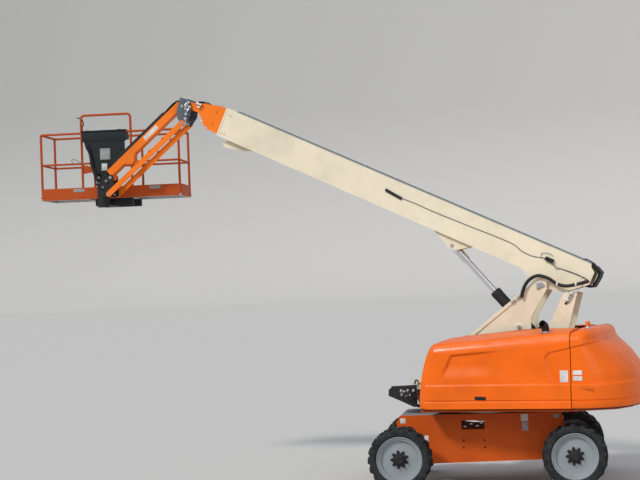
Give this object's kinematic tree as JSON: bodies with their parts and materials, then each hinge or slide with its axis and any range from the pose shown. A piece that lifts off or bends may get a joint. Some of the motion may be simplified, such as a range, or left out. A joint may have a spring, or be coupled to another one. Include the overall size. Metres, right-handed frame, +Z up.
{
  "type": "telescopic boom lift",
  "caption": "Self-propelled telescopic boom lift: wheeled chassis, swinging turret with hoods, raised extending boom, articulating jib and railed work platform.",
  "frame": {"origin": "on the ground under the turret's swing axis, midway between the axles", "axes": "+X from the boom's front along the turret to its counterweight, +Y away from the side that the picture shows, +Z up; the chassis stands turned by 11.3 degrees about +Z under the turret"},
  "size_m": [10.0123, 3.0852, 6.0586],
  "materials": {
    "boom_cream": "gloss",
    "hood_orange": "gloss",
    "chassis_orange": "satin",
    "weight_orange": "satin",
    "jib_orange": "gloss",
    "platform_orange": "satin",
    "floor_alu": "satin",
    "black_metal": "satin",
    "knuckle_grey": "satin",
    "rim_grey": "satin",
    "tyre_black": "matte",
    "steel": "satin",
    "chrome_rod": "polished",
    "dark_plastic": "matte",
    "amber": "gloss",
    "engine_alloy": "matte"
  },
  "bodies": {
    "chassis": {"chassis_sides": "chassis_orange", "chassis_top": "chassis_orange", "chassis_ends": "chassis_orange", "axle_bracket": "chassis_orange", "drive_axle": "black_metal", "steer_axle": "black_metal", "swing_bearing": "steel"},
    "steer_near": {"steer_knuckle_near": "black_metal"},
    "steer_far": {"steer_knuckle_far": "black_metal"},
    "wheel_drive_near": {"drive_near_tyre": "tyre_black", "drive_near_rim": "rim_grey"},
    "wheel_drive_far": {"drive_far_tyre": "tyre_black", "drive_far_rim": "rim_grey"},
    "wheel_steer_near": {"steer_near_tyre": "tyre_black", "steer_near_rim": "rim_grey"},
    "wheel_steer_far": {"steer_far_tyre": "tyre_black", "steer_far_rim": "rim_grey"},
    "turret": {"turret_deck": "chassis_orange", "turret_nose": "black_metal", "tower": "boom_cream", "rear_strut": "boom_cream", "counterweight": "weight_orange", "tail_cover": "hood_orange", "engine": "engine_alloy", "fluid_tank": "dark_plastic", "beacon": "amber", "lift_base_pin": "steel", "boom_pivot_pin": "steel", "hood_hinge_bars": "black_metal"},
    "hood_door_near": {"hood_near": "hood_orange", "exhaust": "black_metal"},
    "hood_door_far": {"hood_far": "hood_orange"},
    "boom": {"boom_base": "boom_cream", "boom_tray": "black_metal"},
    "mid_section": {"boom_mid": "jib_orange"},
    "fly_section": {"boom_fly": "jib_orange", "fly_head": "jib_orange", "knuckle_pin": "steel"},
    "lift_cylinder": {"lift_barrel": "black_metal"},
    "lift_piston": {"lift_rod": "chrome_rod"},
    "knuckle": {"jib_knuckle": "knuckle_grey", "knuckle_jib_pins": "steel"},
    "jib": {"jib_arm": "jib_orange"},
    "jib_link": {"jib_links": "jib_orange"},
    "support": {"platform_support": "black_metal", "jib_pins": "steel"},
    "platform": {"platform_carrier": "black_metal", "platform_floor": "floor_alu", "toe_boards": "platform_orange", "platform_posts": "platform_orange", "platform_rails": "platform_orange", "console": "dark_plastic"}
  },
  "joints": [
    {"name": "drive_wheel_near_spin", "type": "hinge", "parent": "chassis", "child": "wheel_drive_near", "pos_m": [-1.00679, -1.28978, 0.46], "axis": [-0.1959, 0.9806, 0], "continuous": true},
    {"name": "drive_wheel_far_spin", "type": "hinge", "parent": "chassis", "child": "wheel_drive_far", "pos_m": [-1.42513, 0.80383, 0.46], "axis": [-0.1959, 0.9806, 0], "continuous": true},
    {"name": "steer_near_turn", "type": "hinge", "parent": "chassis", "child": "steer_near", "pos_m": [1.3786, -0.57094, 0.46], "axis": [0, 0, 1], "range_deg": [-34, 34]},
    {"name": "steer_far_turn", "type": "hinge", "parent": "chassis", "child": "steer_far", "pos_m": [1.05333, 1.05688, 0.46], "axis": [0, 0, 1], "range_deg": [-34, 34]},
    {"name": "steer_wheel_near_spin", "type": "hinge", "parent": "steer_near", "child": "wheel_steer_near", "pos_m": [1.42513, -0.80383, 0.46], "axis": [-0.1959, 0.9806, 0], "continuous": true},
    {"name": "steer_wheel_far_spin", "type": "hinge", "parent": "steer_far", "child": "wheel_steer_far", "pos_m": [1.00679, 1.28978, 0.46], "axis": [-0.1959, 0.9806, 0], "continuous": true},
    {"name": "turret_swing", "type": "hinge", "parent": "chassis", "child": "turret", "pos_m": [0, 0, 1.05], "axis": [0, 0, 1], "continuous": true},
    {"name": "hood_near_open", "type": "hinge", "parent": "turret", "child": "hood_door_near", "pos_m": [0.7, -0.3877, 2.16], "axis": [-1, 0, 0], "range_deg": [0, 65]},
    {"name": "hood_far_open", "type": "hinge", "parent": "turret", "child": "hood_door_far", "pos_m": [0.7, 0.3877, 2.16], "axis": [1, 0, 0], "range_deg": [0, 65]},
    {"name": "boom_lift", "type": "hinge", "parent": "turret", "child": "boom", "pos_m": [0.901, 0, 2.882], "axis": [0, 1, 0], "range_deg": [-20, 42]},
    {"name": "mid_extend", "type": "slide", "parent": "boom", "child": "mid_section", "axis": [-0.9037, 0, 0.4281], "range_m": [0, 4.2]},
    {"name": "fly_extend", "type": "slide", "parent": "mid_section", "child": "fly_section", "axis": [-0.9037, 0, 0.4281], "range_m": [0, 4.2]},
    {"name": "lift_cylinder_tilt", "type": "hinge", "parent": "turret", "child": "lift_cylinder", "pos_m": [0.84, 0, 2.028], "axis": [0, 1, 0], "range_deg": [-30, 40]},
    {"name": "lift_piston_slide", "type": "slide", "parent": "lift_cylinder", "child": "lift_piston", "axis": [-0.6545, 0, 0.7561], "range_m": [-0.5, 0.6]},
    {"name": "knuckle_level", "type": "hinge", "parent": "fly_section", "child": "knuckle", "pos_m": [-4.7, 0, 5.93], "axis": [0, 1, 0], "range_deg": [-50, 30]},
    {"name": "jib_lift", "type": "hinge", "parent": "knuckle", "child": "jib", "pos_m": [-4.785, 0, 5.92], "axis": [0, 1, 0], "range_deg": [-18, 95]},
    {"name": "jib_link_turn", "type": "hinge", "parent": "knuckle", "child": "jib_link", "pos_m": [-4.785, 0, 5.65], "axis": [0, 1, 0], "range_deg": [-22, 100]},
    {"name": "support_level", "type": "hinge", "parent": "jib", "child": "support", "pos_m": [-6.13482, 0, 4.85398], "axis": [0, 1, 0], "range_deg": [-100, 22]},
    {"name": "platform_turn", "type": "hinge", "parent": "support", "child": "platform", "pos_m": [-6.32, 0, 4.5], "axis": [0, 0, 1], "range_deg": [-13, 166]}
  ],
  "couplings": [
    {"joint": "steer_far_turn", "follows": "steer_near_turn", "ratio": 1},
    {"joint": "fly_extend", "follows": "mid_extend", "ratio": 1},
    {"joint": "lift_cylinder_tilt", "follows": "boom_lift", "ratio": 0.67},
    {"joint": "lift_piston_slide", "follows": "boom_lift", "m_per_rad": 0.515},
    {"joint": "knuckle_level", "follows": "boom_lift", "ratio": -1},
    {"joint": "jib_link_turn", "follows": "jib_lift", "ratio": 1},
    {"joint": "support_level", "follows": "jib_lift", "ratio": -1}
  ]
}
